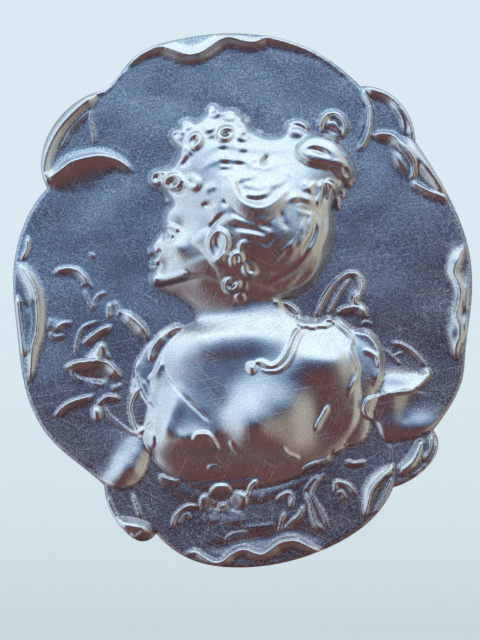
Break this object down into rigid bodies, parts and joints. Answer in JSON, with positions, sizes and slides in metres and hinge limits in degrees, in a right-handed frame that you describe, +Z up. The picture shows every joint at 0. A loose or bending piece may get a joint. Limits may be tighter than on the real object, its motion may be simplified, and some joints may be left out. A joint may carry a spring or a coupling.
{
  "type": "pin brooch",
  "caption": "Oval stamped silver brooch: lady's head and flowers in a petal frame, with a hinged pin and a turning safety catch behind.",
  "frame": {"origin": "middle of the pin's straight stretch, on its axis, with the pin closed", "axes": "+Z up as the brooch is worn, -Y out of the decorated face, +X along the pin from its hinge to its catch"},
  "size_m": [0.0461, 0.0104, 0.0536],
  "materials": {
    "patinated_silver": "stamped silver, dark in the hollows and worn bright on the high places",
    "dull_silver": "satin silver with a light tarnish",
    "bright_silver": "worn bright silver",
    "pin_metal": "drawn nickel-silver wire, polished by use"
  },
  "bodies": {
    "brooch": {"face_shell": "patinated_silver", "back_plate": "dull_silver", "hinge_base": "dull_silver", "hinge_bracket": "dull_silver", "hinge_rivet": "bright_silver", "catch_base": "dull_silver", "catch_housing": "dull_silver"},
    "pin": {"pin_stem": "pin_metal"},
    "lock": {"catch_lock": "bright_silver"}
  },
  "joints": [
    {"name": "pin_swing", "type": "hinge", "parent": "brooch", "child": "pin", "pos_m": [-0.01195, 0, 0], "axis": [0, 0, 1], "range_deg": [0, 95]},
    {"name": "lock_turn", "type": "hinge", "parent": "brooch", "child": "lock", "pos_m": [0.01405, 0, 0], "axis": [1, 0, 0], "range_deg": [0, 150]}
  ]
}
